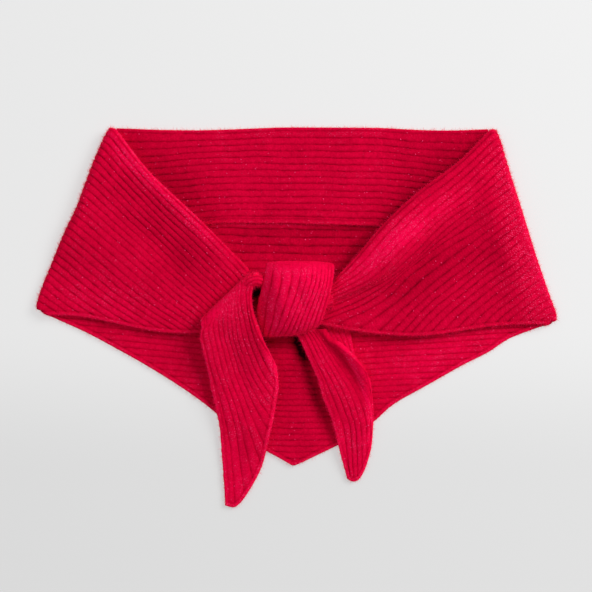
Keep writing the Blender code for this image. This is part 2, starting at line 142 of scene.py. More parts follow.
def whole_ribs(ribs):
    return np.abs(ribs - np.round(ribs)) < 1e-6


def wall_rows(ribs, middles, smooth=()):
    """Rows of a wall that has less of the ribs' relief where the knit is stretched smooth."""
    relief_kept = np.clip(1 - crease_heights(middles, smooth), 0, 2)
    return Rows(ribs, middles, normals_of(middles), relief_kept, whole_ribs(ribs))


STITCH = 2.4  # along the rib
COLUMN = STITCH / 4  # of the mesh, along the rib
WIDE_COLUMN = STITCH / 3  # on the two widest plies, which lie flat
BACKING_COLUMNS = 8  # the plain side has one column for this many
END_COLUMN = 0.3  # the least share of a column that is left at a row's end
FAR_FROM_HEM = 99.0
LEAST_SINE = 0.3  # of the angle at which ribs are taken to run out at an edge


def places_along(middles, anchor):
    """How far along its row each sample lies, from a line that crosses the rows at the anchor."""
    steps = np.linalg.norm(np.diff(middles, axis=1), axis=2)
    lengths = np.pad(np.cumsum(steps, axis=1), ((0, 0), (1, 0)))
    heading = unit(middles[:, anchor + 1] - middles[:, anchor - 1])
    moved = np.diff(middles[:, anchor], axis=0)
    shift = np.einsum("ij,ij->i", moved, unit(heading[1:] + heading[:-1]))
    return lengths - lengths[:, [anchor]] + np.pad(np.cumsum(shift), (1, 0))[:, None]


def wall_mesh(name, rows, tone, glint, anchor, free, column):
    """A closed wall of knit: a ribbed side, and a plain side with fewer rows and columns.

    free gives, for the two ends of the ribs, the rib number from which that end is a free edge,
    and then whether the last rib is one. The relief and the colours follow the mesh's attributes:
    the rib, the course, the distance to a free edge, the share of relief, the painted light and
    shade, how many painted glints, and the ways out of the cloth and across its ribs.
    """
    middles = rows.middles
    along = places_along(middles, anchor)
    beside = unit(np.gradient(middles, axis=0))
    to_last = np.zeros(middles.shape[:2])
    to_last[:-1] = np.linalg.norm(np.diff(middles, axis=0), axis=2)[::-1].cumsum(axis=0)[::-1]
    edge_sines = []
    for end, inner in ((0, 1), (-1, -2)):
        edge = unit(np.gradient(middles[:, end], axis=0))
        inwards = unit(middles[:, inner] - middles[:, end])
        edge_sines.append(np.linalg.norm(np.cross(edge, inwards), axis=1))
    blocks, faces = [], []

    def add_row(index, side):
        """A row of vertices on one side of the wall; gives them and the numbers of its columns."""
        places = along[index]
        first, last = places[0] / column + END_COLUMN, places[-1] / column - END_COLUMN
        numbers = list(range(int(np.ceil(first)), int(np.floor(last)) + 1))
        if side < 0:
            numbers = [number for number in numbers[2:-2] if number % BACKING_COLUMNS == 0]
        at = np.array([places[0], *(number * column for number in numbers), places[-1]])

        def read(values):
            parts = np.atleast_2d(values[index].T)
            return np.stack([np.interp(at, places, part) for part in parts], axis=-1).squeeze()

        gap = read(to_last) if free[2] else np.full(len(at), FAR_FROM_HEM)
        for from_rib, reach, sine in zip(free, (at - places[0], places[-1] - at), edge_sines):
            if from_rib is not None and rows.ribs[index] >= from_rib:
                gap = np.minimum(gap, reach * max(sine[index], LEAST_SINE))
        normal = unit(read(rows.normals))
        start = sum(len(block["rib"]) for block in blocks)
        blocks.append({
            "place": read(middles) + normal * side * WALL / 2, "rib": np.full(len(at), rows.ribs[index]),
            "course": at / STITCH, "hem": gap, "firm": read(rows.firm) * (side > 0),
            "tone": read(tone), "glint": read(glint), "lift": normal,
            "across": read(beside) * (side > 0)})
        return range(start, start + len(at)), numbers

    def fan(run, longer):
        """Triangles from an end of one row to the more distant vertices of the other."""
        if len(run) > len(longer):
            run, longer = longer, run
        faces.extend([run[0], one, two] for one, two in zip(longer, longer[1:]))
        faces.append([run[0], longer[-1], run[1]])

    def join(near, near_numbers, far, far_numbers):
        """Faces between two rows of vertices, with fans where one row is longer."""
        shared = sorted(set(near_numbers) & set(far_numbers))
        if not shared:
            faces.append([*near, *far[::-1]])
            return
        a, b = near_numbers.index(shared[0]) + 1, far_numbers.index(shared[0]) + 1
        span = len(shared) - 1
        faces.extend([near[a + i], near[a + i + 1], far[b + i + 1], far[b + i]] for i in range(span))
        fan(near[:a + 1], far[:b + 1])
        fan(near[:a + span - 1:-1], far[:b + span - 1:-1])

    backed = np.flatnonzero(rows.backed)
    shown = [add_row(index, 1) for index in range(len(rows.ribs))]
    plain = [add_row(index, -1) for index in backed]
    for near, far in [*zip(shown, shown[1:]), *zip(plain, plain[1:])]:
        join(*near, *far)
    # The wall's edges, along its first and last rows and along the ends of the others.
    for (front, numbers), (back, kept) in ((shown[0], plain[0]), (shown[-1], plain[-1])):
        marks = [0, *(numbers.index(number) + 1 for number in kept), len(front) - 1]
        for count, (one, two) in enumerate(zip(marks, marks[1:])):
            faces.append([*front[one:two + 1], back[count + 1], back[count]])
    for (near, _), (far, _), first, last in zip(plain, plain[1:], backed, backed[1:]):
        for end in (0, -1):
            faces.append([*(row[end] for row, _ in shown[first:last + 1]), far[end], near[end]])

    columns = {label: np.concatenate([block[label] for block in blocks]) for label in blocks[0]}
    mesh = bpy.data.meshes.new(name)
    mesh.from_pydata(((columns.pop("place") - CENTRE) * MM).tolist(), [], faces)
    for label, values in columns.items():
        kind, field = ("FLOAT", "value") if values.ndim == 1 else ("FLOAT_VECTOR", "vector")
        layer = mesh.attributes.new(label, kind, "POINT")
        layer.data.foreach_set(field, values.astype(np.float32).ravel())
    shell = bmesh.new()
    shell.from_mesh(mesh)
    bmesh.ops.recalc_face_normals(shell, faces=shell.faces)
    shell.to_mesh(mesh)
    shell.free()
    mesh.shade_smooth()
    return mesh


def add_node(tree, kind, *values, **settings):
    """Adds a node with its settings; a kind in capitals is what a Math node works out.

    Its inputs get values, sockets or, for their first output, nodes: in turn, or in a dictionary.
    """
    if kind.isupper():
        kind, settings["operation"] = "Math", kind
    node = tree.nodes.new(kind if "Node" in kind else "ShaderNode" + kind)
    inputs = {}
    for value in values:
        inputs.update(value if isinstance(value, dict) else {len(inputs): value})
    for name, value in settings.items():
        setattr(node, name, value)
    for key, value in inputs.items():
        if isinstance(value, bpy.types.Node):
            value = value.outputs[0]
        if isinstance(value, bpy.types.NodeSocket):
            tree.links.new(value, node.inputs[key])
        else:
            node.inputs[key].default_value = value
    return node


def new_tree(name, sizes):
    """A tree of geometry nodes, the function that adds to it, and its inputs: sizes and a finish."""
    tree = bpy.data.node_groups.new(name, "GeometryNodeTree")
    sockets = tree.interface
    for way in ("OUTPUT", "INPUT"):
        sockets.new_socket("Geometry", in_out=way, socket_type="NodeSocketGeometry")
    for label, value in sizes:
        kind = "NodeSocketInt" if isinstance(value, int) else "NodeSocketFloat"
        sockets.new_socket(label, in_out="INPUT", socket_type=kind).default_value = value
    sockets.new_socket("Finish", in_out="INPUT", socket_type="NodeSocketMaterial")
    return tree, partial(add_node, tree), add_node(tree, "NodeGroupInput").outputs


def end_tree(add, geometry, finish):
    """Ends a tree: what it has made becomes one real mesh, with its finish."""
    real = add("GeometryNodeRealizeInstances", geometry)
    add("NodeGroupOutput", add("GeometryNodeSetMaterial", {"Geometry": real, "Material": finish}))


def knit_tree():
    """Raises the ribs and stitches of a knitted wall, and a chained bead along its free edges."""
    tree, add, given = new_tree("rib_knit_relief", KNIT_SIZES)
    rib, course, hem, firm, tone = (add("GeometryNodeInputNamedAttribute", {"Name": name})
                                    for name in ("rib", "course", "hem", "firm", "tone"))
    lift, across = (add("GeometryNodeInputNamedAttribute", {"Name": name}, data_type="FLOAT_VECTOR")
                    for name in ("lift", "across"))
    relief, width = given["Relief"], given["Bead width"]
    soft = {"interpolation_type": "SMOOTHSTEP"}
    noises = [add("TexNoise", {"W": variant, "Scale": given[name + " scale"], "Detail": detail},
                  noise_dimensions="4D")
              for name, variant, detail in (("Wander", 1, 1), ("Frizz", 2, 1), ("Tuft", 4, 2),
                                            ("Closing", 3, 2))]
    wander, frizz, tuft = (add("MULTIPLY", add("SUBTRACT", noise, 0.5), given[name])
                           for noise, name in zip(noises, ("Wander", "Frizz", "Tuft")))
    # The ribs wander a little, and some stretches of the grooves are almost closed.
    aside = add("VectorMath", across, {"Scale": add("ADD", wander, frizz)}, operation="SCALE")
    part = add("FRACT", rib)
    profile = add("FloatCurve", {"Value": part})
    curve = profile.mapping.curves[0]
    for place, height in zip((*ACROSS_RIB, 1.0), RIB_HEIGHTS):
        if place in (0.0, 1.0):
            curve.points[int(place)].location = (place, height)
        else:
            curve.points.new(place, height)
    profile.mapping.update()
    open_share = add("MapRange", noises[3], *CLOSING_NOISE, given["Least groove"], 1.0, **soft)
    groove = add("MULTIPLY", add("SUBTRACT", 1.0, profile), open_share)
    # Each stitch is a V of two legs, with a dip where it meets the next one.
    leg = add("ABSOLUTE", add("SUBTRACT", part, 0.5))
    turn = add("MULTIPLY", add("ADD", course, leg), 2 * np.pi)
    dip = add("MULTIPLY_ADD", add("COSINE", turn), -0.5, 0.5)
    dip = add("MULTIPLY", add("MULTIPLY", dip, given["Stitch depth"]), profile)
    depth = add("SUBTRACT", add("ADD", groove, dip), tuft)
    # The chained bead along a free edge stands in the place of the ribs there.
    near = add("MapRange", hem, width, add("MULTIPLY", width, BEAD_FULL), **soft)
    chain = add("COSINE", add("MULTIPLY", rib, given["Chain turns"]))
    round_off = add("SQRT", add("MINIMUM", add("DIVIDE", hem, width), 1.0))
    bead = add("MULTIPLY", add("MULTIPLY_ADD", chain, BEAD_WAVE, BEAD_HEIGHT), round_off)
    depth = add("Mix", {"Factor": near, "A": depth, "B": add("SUBTRACT", 1.0, bead)})
    height = add("MULTIPLY", add("SUBTRACT", 1.0, depth), relief)
    inside = add("SUBTRACT", hem, add("MULTIPLY", width, MOAT_MIDDLE))
    inside = add("DIVIDE", add("ABSOLUTE", inside), width)
    moat = add("MapRange", inside, MOAT_HALF, 0.0, 0.0, given["Moat"], **soft)
    height = add("SUBTRACT", height, add("MULTIPLY", add("MULTIPLY", moat, relief), MOAT_DEPTH))
    # Where the knit is stretched smooth, the grooves rise and the crests stay.
    plain = add("MULTIPLY", add("MULTIPLY", relief, STRETCHED), add("CEIL", firm))
    height = add("Mix", {"Factor": firm, "A": plain, "B": height})
    offset = add("VectorMath", add("VectorMath", lift, {"Scale": height}, operation="SCALE"), aside)
    raised = add("GeometryNodeSetPosition", {"Geometry": given["Geometry"], "Offset": offset})
    # The colours follow the depth: grooves and gaps between stitches are painted shade, knit pulled
    # smooth is painted lighter, and each stretch's painted light and shade is taken off.
    painted_light_and_shade = add("Mix", {"Factor": firm, "A": STRETCHED_PAINTED_LIGHT, "B": depth})
    # Less of the painted groove shade on the bead.
    painted_light_and_shade = add("MULTIPLY", painted_light_and_shade, add("MULTIPLY_ADD", near, -BEAD_FADE, 1.0))
    painted_light_and_shade = add("SUBTRACT", painted_light_and_shade, tone)
    # A painted highlight along the bead.
    painted_light_and_shade = add("SUBTRACT", painted_light_and_shade, add("MULTIPLY", near, given["Bead tone"]))
    # Painted shade in the thin moat beside the bead.
    painted_light_and_shade = add("ADD", painted_light_and_shade, moat)
    marked = add("GeometryNodeStoreNamedAttribute", {"Geometry": raised, "Name": "depth", "Value": painted_light_and_shade})
    end_tree(add, marked, given["Finish"])
    return tree


# How high the knit stands at its rows from groove to groove, as a share of its relief, and the
# noise at which a groove is most closed and quite open.
RIB_HEIGHTS = (0, 0.42, 0.8, 0.96, 1, 0.96, 0.8, 0.42, 0)
CLOSING_NOISE = (0.38, 0.6)
# Shares of the bead's width or of the relief: where the bead is all there, its mean height and how
# far its stitches vary that; the middle, half width and depth of the moat, a thin groove beside it.
BEAD_FULL, BEAD_HEIGHT, BEAD_WAVE = 0.45, 0.95, 0.12
MOAT_MIDDLE, MOAT_HALF, MOAT_DEPTH = 1.2, 0.3, 0.6
# The height of smooth knit, its depth for the colours, which paints it a little lighter than a
# crest as a painted highlight, and how far the bead's depth is lessened.
STRETCHED, STRETCHED_PAINTED_LIGHT, BEAD_FADE = 0.8, -0.1, 0.6
# Stitch depth, tuft, least groove and moat are shares of the relief, the scales are per metre, the
# bead's width is in millimetres as its attribute is, and two of its chain stitches go to a rib.
# The bead's value for the colours lightens it, a painted highlight along the free edges.
KNIT_SIZES = (
    ("Relief", 1.1 * MM), ("Stitch depth", 0.16), ("Tuft", 0.5), ("Tuft scale", 420.0),
    ("Least groove", 0.62), ("Closing scale", 95.0), ("Wander", 3.2 * MM), ("Wander scale", 26.0),
    ("Frizz", 1.5 * MM), ("Frizz scale", 300.0), ("Bead width", 3.2), ("Bead tone", 0.35),
    ("Moat", 0.35), ("Chain turns", 2 * np.pi * 2.0),
)


def linear(hex_colour):
    """A colour given as sRGB hex, as the linear values that sockets hold."""
    parts = [int(hex_colour[i:i + 2], 16) / 255 for i in (1, 3, 5)]
    return [p / 12.92 if p <= 0.04045 else ((p + 0.055) / 1.055) ** 2.4 for p in parts] + [1.0]


def new_material(name, values):
    """A material, and its shader with values, or colours in hex, in its own sockets."""
    material = bpy.data.materials.new(name)
    material.use_nodes = True
    shader = material.node_tree.nodes["Principled BSDF"]
    for socket, value in values.items():
        shader.inputs[socket].default_value = linear(value) if isinstance(value, str) else value
    return material, shader


def wool_material():
    """Brushed wool with a metallic thread, in rib knit: matt, with a soft pink sheen."""
    material, shader = new_material("scarlet_wool_rib_knit", {
        "Roughness": 0.9, "Specular IOR Level": 0.08, "Specular Tint": "#FF1450",
        "Sheen Weight": 0.6, "Sheen Roughness": 0.5, "Sheen Tint": "#FF1450"})
    add = partial(add_node, material.node_tree)
    own = add("TexCoord").outputs["Object"]
    depth, glint = (add("Attribute", attribute_name=name).outputs["Fac"] for name in ("depth", "glint"))
    # Each noise has a scale per metre, a detail and a roughness.
    coarse, fine, patches, specks, tufts, fibres = (
        add("TexNoise", {"Vector": own, "Scale": scale, "Detail": detail, "Roughness": roughness})
        for scale, detail, roughness in ((24, 2, 0.6), (900, 2, 0.6), (70, 1, 0.5), (1100, 1, 0.5),
                                         (260, 3, 0.6), (1400, 3, 0.7)))
    # Painted shade, darker in the grooves and between the stitches where light doesn't reach, with
    # noise that varies it at random.
    shade = add("MULTIPLY", depth, 0.6)
    for noise, share in ((fine, 0.55), (tufts, 0.45), (coarse, 0.35)):
        lack = add("MULTIPLY", add("SUBTRACT", 0.5, noise), share)
        shade = add("ADD", shade, lack)
    ramp = add("ValToRGB", add("MULTIPLY", add("ADD", shade, 0.27), 0.8))
    stops = ramp.color_ramp.elements
    stops[0].color, stops[1].color = linear("#F60547"), linear("#1C0008")
    for place, colour in ((0.19, "#DA0336"), (0.4, "#BE002B"), (0.8, "#7A0016")):
        stops.new(place).color = linear(colour)
    # Painted glints: specks of the metallic thread in the base colour, on the crests and thickest where
    # the cloth bends up to the light.
    specks = add("MapRange", specks, 0.6, 0.74)
    patchy = add("MULTIPLY", add("SUBTRACT", patches, 0.5), 1.2)
    covered = add("SUBTRACT", add("ADD", depth, patchy), glint)
    bright = add("MapRange", covered, 0.0, -0.4, 0.0, 1.0)
    lit = add("Mix", {"Factor": add("MULTIPLY", specks, bright), 6: ramp, 7: linear("#FF4C88")},
              data_type="RGBA")
    # Fibres of the yarn, about half a millimetre apart, which is as fine as shows.
    bump = add("Bump", {"Height": fibres, "Strength": 0.5, "Distance": 0.35 * MM})
    material.node_tree.links.new(lit.outputs[2], shader.inputs["Base Color"])
    material.node_tree.links.new(bump.outputs[0], shader.inputs["Normal"])
    return material


WOOL = wool_material()
KNIT = knit_tree()


def in_scene(name, data):
    thing = bpy.data.objects.new(name, data)
    bpy.context.scene.collection.objects.link(thing)
    return thing


def modified(name, mesh, tree, finish):
    """A mesh with a tree of geometry nodes run on it and kept, as a new plain mesh."""
    rough = in_scene(name + "_rough", mesh)
    modifier = rough.modifiers.new("nodes", "NODES")
    modifier.node_group = tree
    modifier[tree.interface.items_tree["Finish"].identifier] = finish
    evaluated = rough.evaluated_get(bpy.context.evaluated_depsgraph_get())
    plain = bpy.data.meshes.new_from_object(evaluated)
    plain.name = name
    bpy.data.objects.remove(rough)
    # What would reach into the table is pressed flat on it.
    points = np.zeros(len(plain.vertices) * 3, np.float32)
    plain.vertices.foreach_get("co", points)
    points[2::3] = np.maximum(points[2::3], 0)
    plain.vertices.foreach_set("co", points)
    return plain


# A side fold: its two ends, and how far it bows outwards at shares of the way between them.
Fold = namedtuple("Fold", "neck hem shares bows")
LEFT = Fold(np.array([-164.9, 163, 0]), np.array([-225.3, 7.2, 0]),
            (0, 0.12, 0.22, 0.31, 0.42, 0.5, 0.7, 0.9, 1),
            (0, 0.9, 1.2, 0.2, 0.3, 1.8, 3.2, 3.8, 3))
RIGHT = Fold(np.array([175.3, 161.6, 0]), np.array([226.4, -3, 0]),
             (0, 0.2, 0.4, 0.6, 0.75, 0.87, 1), (0, -0.6, -0.5, -0.3, 0.2, 1.6, 2.5))
# The four corners of the scarf are rounded, and its hem hangs a little beside two of them: the
# place, the way that the cloth goes there, how far, and how far from the place that begins.
CORNERS = [
    (LEFT.neck, (0.59, -0.81, 0), 1, 10),
    (RIGHT.neck, (-0.59, -0.81, 0), 1.3, 12),
    (LEFT.hem + (-2.8, 1.1, 0), (0.98, -0.2, 0), 2.3, 7),
    (RIGHT.hem + (2.4, 0.7, 0), (-1, 0, 0), 3.2, 8),
    (LEFT.hem + (6.3, -2.7, 0), (-0.4, -0.92, 0), 1.3, 10),
    (RIGHT.hem + (-7.4, -3.5, 0), (0.3, -0.95, 0), 1.2, 10),
]


def corners_rounded(middles):
    for corner, inwards, most, reach in CORNERS:
        apart = np.linalg.norm((middles - corner)[..., :2], axis=-1, keepdims=True)
        middles = middles + np.array(inwards) * most * np.clip(1 - apart / reach, 0, 1) ** 2
    return middles


KNITTED = []


def knit_piece(name, node, rows, anchor=60, free=(None, None, False),
               column=COLUMN, tone=0.0, painted_shading_creases=(), firm=1.0, glint=0.0, glints=()):
    """A stretch of the scarf: its wall, with its knit raised, in the place of the CAD node.

    The stitches of its ribs line up at the sample that is its anchor. The painted shading makes the
    whole stretch lighter, as painted light, where it is positive, and darker, as painted shade, where
    it is negative; its creases do the same in places. Firm is the share of the ribs' relief that is
    left.
    """
    rows = rows._replace(middles=corners_rounded(rows.middles), firm=np.minimum(rows.firm * firm, 1))
    mesh = wall_mesh(name, rows, tone + crease_heights(rows.middles, painted_shading_creases),
                     glint + crease_heights(rows.middles, glints), anchor, free, column)
    piece = in_scene(name, modified(name, mesh, KNIT, WOOL))
    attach(piece, "root")
    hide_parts(node)
    KNITTED.append(piece)


BAND_RIBS, FOLD_RIBS, BACK_RIBS = 14, 27, 50
SIDE_RADIUS, HEM_RADIUS = 1.5 * PLY, 2.2
FOLD_GAP, CORNER_GAP = 0.5, 1.3  # between a lower ply's end and the turn of the side fold


def fold_radius(ribs):
    """Radius of a side fold: wide down to the band's free edge, then narrowing to the hem."""
    return spline((0, BAND_RIBS + 1, BAND_RIBS + 6, FOLD_RIBS),
                  (SIDE_RADIUS, SIDE_RADIUS, HEM_RADIUS + 0.4, HEM_RADIUS), np.atleast_1d(ribs))


def outwards_of(fold):
    """The direction, in plan, that looks outwards from a side fold."""
    out = unit(np.cross(fold.hem - fold.neck, UP))
    return out if out[0] * fold.neck[0] > 0 else -out


def inside_fold(fold, ribs, gap=0.0):
    """The places, in plan, where ribs leave the turn at a side fold, or a gap short of it."""
    down = np.atleast_1d(ribs)[:, None] / FOLD_RIBS
    bow = spline(fold.shares, fold.bows, down)
    inset = fold_radius(ribs)[:, None] + WALL / 2 + RELIEF + gap
    return fold.neck + (fold.hem - fold.neck) * down + outwards_of(fold) * (bow - inset)


CURL = PLY / 2  # radius of a folded edge, at the middle of the ply
NECK_TOP, NECK_RISE, MIDDLE_X = 164.6 - CURL - WALL / 2, 0.3, -2.6


def level_rib(rib, middle_y, gap=FOLD_GAP, rise=0.0, drop=0.0):
    """A rib of the lower layers, which ends at both side folds."""
    left, right = (inside_fold(fold, rib - rise, gap)[0] for fold in (LEFT, RIGHT))
    return (rib, (left[0], left[1] - drop), (MIDDLE_X, middle_y - drop), (right[0], right[1] - drop))


def level_table(lines, height):
    return [(rib, *((x, y, height) for x, y in points)) for rib, *points in lines]


BACK = [
    level_rib(0, NECK_TOP, CORNER_GAP, rise=NECK_RISE, drop=SEAM), level_rib(14, 76.5),
    level_rib(17, 55.2), level_rib(20, 33.8), level_rib(23, 14.2), level_rib(25, 1.2),
    level_rib(26, -5.3, CORNER_GAP), level_rib(27, -11.9, CORNER_GAP),
    (28, (-213.2, 0.3), (MIDDLE_X, -17), (212.8, -8.2)),
    (30, (-184.6, -12.7), (MIDDLE_X, -27), (185.8, -18.5)),
    (32, (-159.6, -26), (MIDDLE_X, -37), (167.7, -30.2)),
    (34, (-135.5, -39.4), (MIDDLE_X, -47.1), (144.7, -41.9)),
    (37, (-106.4, -57.2), (MIDDLE_X, -62.2), (115, -58.7)),
    (40, (-80.8, -75), (MIDDLE_X, -77.3), (85.4, -75.5)),
    (43, (-62, -91), (MIDDLE_X, -92.4), (67.2, -91.2)),
    (46, (-43, -107), (MIDDLE_X, -107.5), (44.5, -107)),
    (50, (-9.5, -125.9), (MIDDLE_X, -129.4), (6.4, -125.9)),
]
# The rows are a rib apart where the band or the fronts cover the back.
BACK_COVER = ((0, 13), (20, 25))
# The neck edge dips a little between its middle and its ends.
NECK_DIPS = [((-172, 163), (-10, 163), 0, 16, 2.4), ((70, 163), (182, 163), 0, 16, 2)]
WIDE_STATIONS = np.linspace(0, 1, 161)


def level_rows(places, table, height, smooth=()):
    middles = ply_points(level_table(table, height), places, WIDE_STATIONS)
    middles[..., 1] -= crease_heights(middles, NECK_DIPS)
    return wall_rows(places, middles, smooth)


places = rib_places(0, BACK_RIBS)
covered = sum((places > first) & (places < last) for first, last in BACK_COVER) > 0
places = places[~covered | whole_ribs(places)]
# Painted shade where the back lies deep between the other plies: below the band's free edge, under
# the knot, in the dark opening at its left, between the tails and as the shadow left of the right
# tail. A few strips are painted lighter, as painted light.
BACK_PAINTED_SHADING = [
    ((-120, 62), (120, 62), 0, 17, -0.25), ((-150, 75), (150, 75), 0, 4, -0.3),
    ((-150, 81.5), (110, 81.5), 0, 2.5, 0.5), ((30, 81), (100, 82), 0, 3, -1),
    ((0, 10), (-2, -135), 0, 20, -0.25), ((-38, 35), (-34, 13), 0, 6, -2.6),
    ((-35, 18), (-29, -8), 0, 5, 1), ((-46, -22), (24, -22), 0, 5, -0.4),
    ((-4, -8), (11, -44), 0, 4, -1.8), ((-4, -10), (33, -118), 0, 5, -0.7),
    ((50, -58), (210, -12), 0, 18, 0.2),
]
back = level_rows(places, BACK, TABLE_Z, [((-160, 64), (160, 64), 0, 16, -0.5)])
knit_piece("back_panel_knit", "back_panel", back, anchor=80, free=(27, 27, True),
           column=WIDE_COLUMN, painted_shading_creases=BACK_PAINTED_SHADING, firm=0.6)


# ==== neck band
# The band that is folded down inside the long edge, where it shows in the neck opening. It lies on
# the back panel, its folded edge is the neck edge, and its free edge is a plain cast-off one.

ON_BACK = TABLE_Z + PLY
FLAP = [
    level_rib(0, NECK_TOP, CORNER_GAP, rise=NECK_RISE), level_rib(1, NECK_TOP - 5.8),
    level_rib(7, 122.0), level_rib(14, 81.5),
]
ROLL_TURNS = np.linspace(np.pi, 0, 9)[:-1]
# At its ends the band sags a little: where the sag starts and is full, and how far it goes.
SAGS = ((-60.0, -150.0, 4.6), (72.0, 160.0, 5.2))


def sagged(wall):
    """A wall whose ribs bend towards the bottom at the ends, all but the first ones."""
    middles = wall.middles.copy()
    rib_share = np.clip(wall.ribs / 3, 0, 1)[:, None]
    for start, full, sag in SAGS:
        part = np.clip((middles[..., 0] - start) / (full - start), 0, 1)
        middles[..., 1] -= sag * rib_share * part * part * (3 - 2 * part)
    return wall._replace(middles=middles)


def rolled(wall, outwards):
    """A wall with its first row rolled under; the roll's rib numbers run up to 0."""
    middles, normals = wall.middles[0], wall.normals[0]
    outwards = np.broadcast_to(outwards, middles.shape)
    out = unit(outwards - normals * np.einsum("ij,ij->i", outwards, normals)[:, None])
    rows, ways = [], []
    for turn in ROLL_TURNS:
        rows.append(middles + out * CURL * np.sin(turn) - normals * CURL * (1 - np.cos(turn)))
        ways.append(out * np.sin(turn) + normals * np.cos(turn))
    grow = np.linspace(0, 1, len(ROLL_TURNS))[:, None] * wall.firm[0]
    every_other = np.arange(len(ROLL_TURNS)) % 2 == 0
    return stacked(Rows(-ROLL_TURNS / np.pi, rows, ways, grow, every_other), wall)


band = sagged(level_rows(rib_places(0, BAND_RIBS), FLAP, ON_BACK))
# The band is painted a little darker all over and more towards both ends, as the shade beside the fronts'
# raised edges, with more painted glints along its neck edge.
knit_piece("neck_band_knit", "neck_flap", rolled(band, (0, 1, 0)), anchor=80,
           free=(None, None, True), column=WIDE_COLUMN, tone=-0.05,
           painted_shading_creases=[((-172, 176), (-52, 55), 0, 20, -0.5), ((186, 176), (62, 50), 0, 26, -0.7)],
           firm=0.75, glints=[((-190, 161), (200, 161), 0, 4, 0.4)])


# ==== fronts
# The two ends of the scarf, folded over to the front at the sides. Each comes round the side fold,
# two plies deep down to the band's free edge, and narrows to its slanted free edge below.

FRONT_LEFT = [
    (0, (-127.5, 122.5, 14), (-84, 81.6, 14.5), (-42.2, 38.5, 9.5)),
    (6, (-131.8, 86.4, 12.5), (-88.3, 44.6, 12), (-51.8, 9.4, 9)),
    (12, (-150.1, 60.7, 11.5), (-110.1, 25.9, 10.5), (-68.3, -9.3, 8.5)),
    (16, (-162.3, 39.8, 10), (-124.8, 10.7, 9), (-87.4, -13.7, 8)),
    (20, (-181.4, 25.5, 8), (-153.6, 5.5, 7.5), (-125.7, -11.5, 6.5)),
    (24, (-207.1, 15.9, 6), (-195.3, 7.7, 6), (-184, 0.3, 5.5)),
    (27, (-220, 5.5, 5.3), (-217.5, 3.9, 5.2), (-215, 2.2, 5)),
]
FRONT_RIGHT = [
    (0, (141.4, 132.1, 14), (105.7, 105.1, 16), (75.3, 76.4, 18.5), (51.8, 48.5, 19), (29, 26.4, 17)),
    (4, (148.4, 109.6, 17), (117.3, 84.8, 20), (89.4, 57.2, 23), (65.3, 34, 22), (22.5, 13.3, 17.5)),
    (5.2, (150.5, 103.4, 15.7), (121, 82.2, 18), (93.8, 55.4, 20), (69.2, 32.9, 18.4), (21.5, 10.5, 15.5)),
    (6.5, (153.6, 97.8, 14.2), (125.9, 77.2, 16), (99.2, 51.7, 17), (74.5, 32.8, 15.5), (20.5, 6.5, 14)),
    (8, (157.8, 92.2, 13.2), (126.4, 69.3, 14.4), (97.7, 46, 14.8), (66.7, 21.3, 13.4), (20.5, -0.6, 12.5)),
    (9.5, (161.3, 81.6, 12.6), (127.8, 61.8, 13.4), (98.8, 41.4, 13.4), (69.6, 14.5, 12.6),
     (23, -6.6, 11.5)),
    (12, (166.7, 67.6, 12), (142.2, 48.5, 12.2), (118.8, 30.6, 12), (96, 11.3, 11.3), (69, -14.2, 10)),
    (17, (184.7, 43.3, 9.5), (167.3, 31.3, 9.5), (150.7, 18.7, 9.4), (134.2, 4.9, 8.9), (114, -15.6, 8)),
    (22, (205.4, 21.3, 6), (196.8, 15.2, 6.1), (188.5, 8.8, 6.1), (180.2, 1.9, 5.9), (170.6, -7.8, 5.5)),
    (27, (221.2, -3.2, 5.4), (220.6, -3.8, 5.3), (220, -4.4, 5.2), (219.4, -5, 5.1), (218.8, -5.6, 5)),
]
STATIONS = np.linspace(0, 1, 121)
TURN_SAMPLES, SLANT_SAMPLE, MOST_SLANT = 24, 10, 1.3


def turned_under(flat, out, radii, ease):
    """Flat rows with the ply turned under before their first samples, from its lowest point up.

    Each rib goes round the turn as a helix, at the slant that it has beside it, by its ease.
    """
    turns = np.linspace(np.pi, 0, TURN_SAMPLES + 1)[:-1][None, :, None]
    radii = np.reshape(radii, (-1, 1, 1))
    axis = np.cross(UP, out)
    leave = (flat[:, SLANT_SAMPLE] - flat[:, 0]) * (1, 1, 0)
    slant = (leave @ axis) / np.maximum(-(leave @ out), 0.1)
    slant = np.clip(slant, -MOST_SLANT, MOST_SLANT) * ease
    slide = slant[:, None, None] * radii * (turns - turns ** 2 / (2 * np.pi))
    turn = (flat[:, :1] + out * radii * np.sin(turns) - UP * radii * (1 - np.cos(turns))
            - axis * slide)
    return np.concatenate([turn, flat], axis=1)


def edge_rolled(wall, turn_samples=0):
    """A wall with its first row rolled under, away from the rib beside it.

    The samples of a turn roll as the one beside them.
    """
    outwards = wall.middles[0] - wall.middles[len(ACROSS_RIB)]
    outwards[:turn_samples] = outwards[turn_samples]
    return rolled(wall, outwards)


def front_rows(table, fold, creases, smooth):
    whole = [(rib, inside_fold(fold, rib)[0] + UP * (TABLE_Z + 2 * fold_radius(rib)[0]), *points)
             for rib, *points in table]
    ribs = rib_places(0, FOLD_RIBS)
    flat = ply_points(whole, ribs, STATIONS, creases)
    ease = np.clip(ribs / 4, 0, 1) * np.clip((FOLD_RIBS - ribs) / 3, 0, 1)
    middles = turned_under(flat, outwards_of(fold), (flat[:, 0, 2] - TABLE_Z) / 2, ease)
    wall = wall_rows(ribs, middles, smooth)
    inner = np.flatnonzero(wall.backed & (ribs > 0) & (ribs <= BAND_RIBS))[::-1]
    inwards = -wall.normals[inner]
    under = middles[inner] + inwards * PLY
    band = Rows(-2 - ribs[inner], under, inwards, np.zeros(under.shape[:2]), wall.backed[inner])
    return stacked(band, edge_rolled(wall, TURN_SAMPLES))


